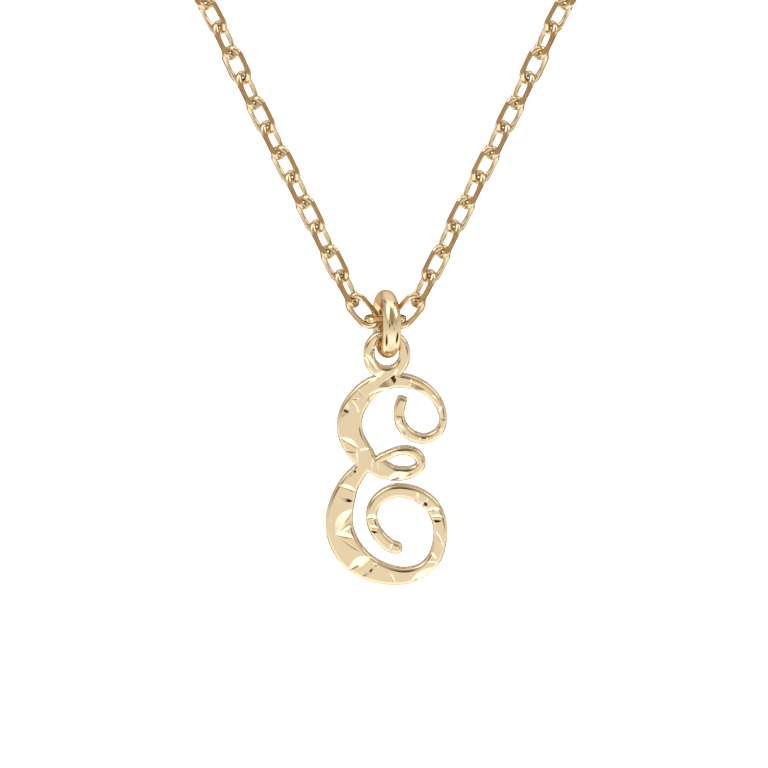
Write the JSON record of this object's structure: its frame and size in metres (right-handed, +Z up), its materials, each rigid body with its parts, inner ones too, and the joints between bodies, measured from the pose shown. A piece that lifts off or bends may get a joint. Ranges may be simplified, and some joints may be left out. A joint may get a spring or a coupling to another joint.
{
  "type": "initial pendant necklace",
  "caption": "Gold script letter pendant with diamond-cut facets, hung by a thick jump ring on a diamond-cut cable chain worn round the neck.",
  "frame": {"origin": "middle of the neck opening, where the necklace is worn and held", "axes": "+Z up out of the neck opening, the pendant hangs at the front and faces -Y, +X to the viewer's right"},
  "size_m": [0.1208, 0.1085, 0.0954],
  "materials": {
    "letter_gold": "polished yellow gold with diamond cuts",
    "ring_gold": "polished yellow gold",
    "chain_gold": "polished yellow gold with ground flats",
    "clasp_gold": "polished yellow gold"
  },
  "bodies": {
    "necklace": {"chain_left": "chain_gold", "chain_right": "chain_gold", "clasp": "clasp_gold"},
    "bail": {"jump_ring": "ring_gold"},
    "letter": {"initial": "letter_gold"}
  },
  "joints": [
    {"name": "bail_swing", "type": "hinge", "parent": "necklace", "child": "bail", "pos_m": [0.0001, -0.056, -0.0624], "axis": [0.9763, 0.2164, 0], "range_deg": [-45, 45]},
    {"name": "letter_swing", "type": "hinge", "parent": "bail", "child": "letter", "pos_m": [0.0001, -0.056, -0.06424], "axis": [-0.2164, 0.9763, 0], "range_deg": [-45, 45]}
  ]
}
